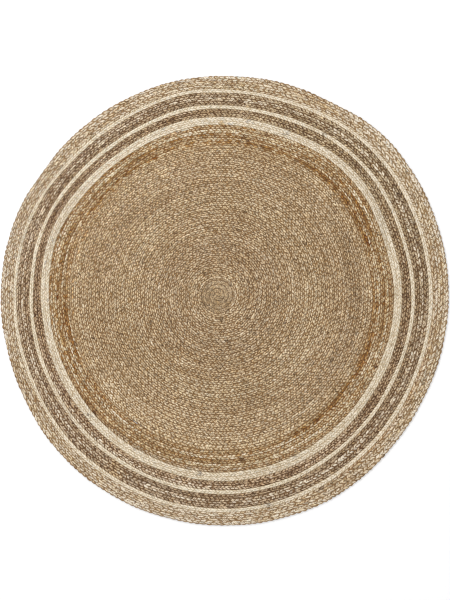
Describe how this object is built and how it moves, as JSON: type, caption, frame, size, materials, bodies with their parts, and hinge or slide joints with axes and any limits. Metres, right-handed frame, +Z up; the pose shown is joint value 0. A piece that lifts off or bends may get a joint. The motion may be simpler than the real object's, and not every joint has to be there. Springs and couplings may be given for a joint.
{
  "type": "round braided jute rug",
  "caption": "Flat round rug of braided jute, coiled and sewn row against row: natural middle, honey, ivory and taupe rings, and a paler rim. Lies on a floor.",
  "frame": {"origin": "on the floor, under the middle of the box round the rug", "axes": "+Z up out of the rug's face, +X to the picture's right, +Y to the picture's top"},
  "size_m": [1.4936, 1.4988, 0.0095],
  "materials": {
    "natural_jute": "dull braided plant fibre, natural tan",
    "honey_jute": "dull braided plant fibre, golden brown",
    "ivory_jute": "dull braided plant fibre, bleached ivory",
    "taupe_jute": "dull braided plant fibre, dark grey-brown",
    "blush_jute": "dull braided plant fibre, pale pinkish tan"
  },
  "bodies": {
    "root": {"centre_coil": "natural_jute", "honey_band": "honey_jute", "wide_ivory_band": "ivory_jute", "inner_taupe_band": "taupe_jute", "inner_ivory_ring": "ivory_jute", "outer_taupe_band": "taupe_jute", "outer_ivory_ring": "ivory_jute", "rim_band": "blush_jute"}
  },
  "joints": []
}
